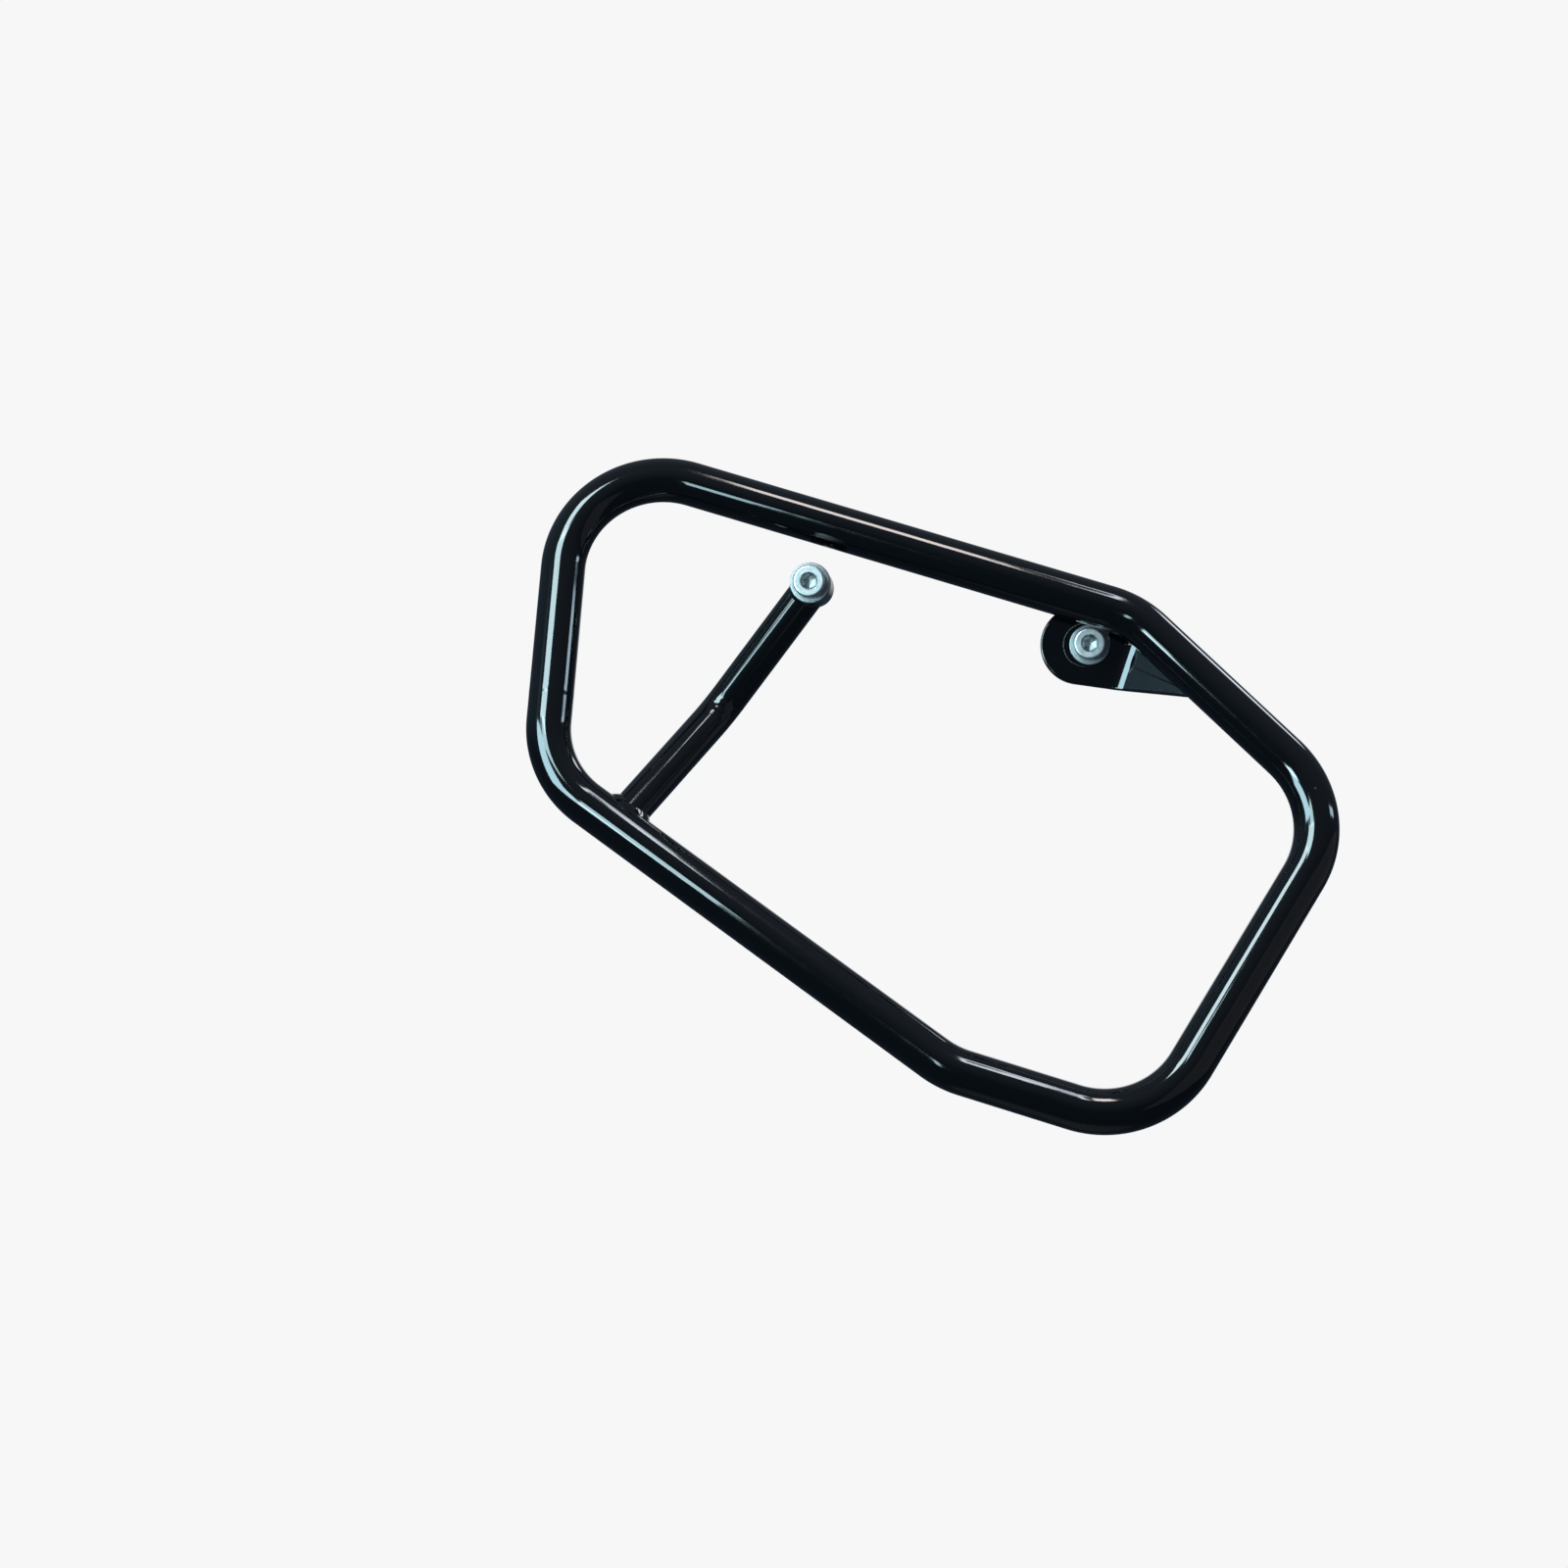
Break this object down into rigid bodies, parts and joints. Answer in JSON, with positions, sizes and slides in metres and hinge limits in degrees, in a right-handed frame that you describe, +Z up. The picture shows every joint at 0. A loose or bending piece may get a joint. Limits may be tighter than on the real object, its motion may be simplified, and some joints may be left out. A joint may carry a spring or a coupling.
{
  "type": "pannier frame",
  "caption": "Bent steel tube side rack that keeps a soft pannier off a motorbike's rear wheel, with a welded stay and bush, a folded slotted bracket and fixing screws.",
  "frame": {"origin": "axis of the rear fixing screw, on the bike's mounting face", "axes": "+X forward along the bike, +Y in towards the bike along the fixing screws, +Z up"},
  "size_m": [0.3219, 0.0945, 0.2707],
  "materials": {
    "black_paint": "gloss black powder coat over welded steel",
    "zinc_plate": "bright zinc plated steel"
  },
  "bodies": {
    "root": {"hoop_tube": "black_paint", "hoop_seam_weld": "black_paint", "stay_tube": "black_paint", "stay_foot_weld": "black_paint", "stay_bush": "black_paint", "stay_bush_weld": "black_paint", "front_bracket": "black_paint", "bracket_weld": "black_paint", "rear_washer": "zinc_plate", "rear_bolt": "zinc_plate", "front_washer": "zinc_plate", "front_bolt": "zinc_plate"}
  },
  "joints": []
}
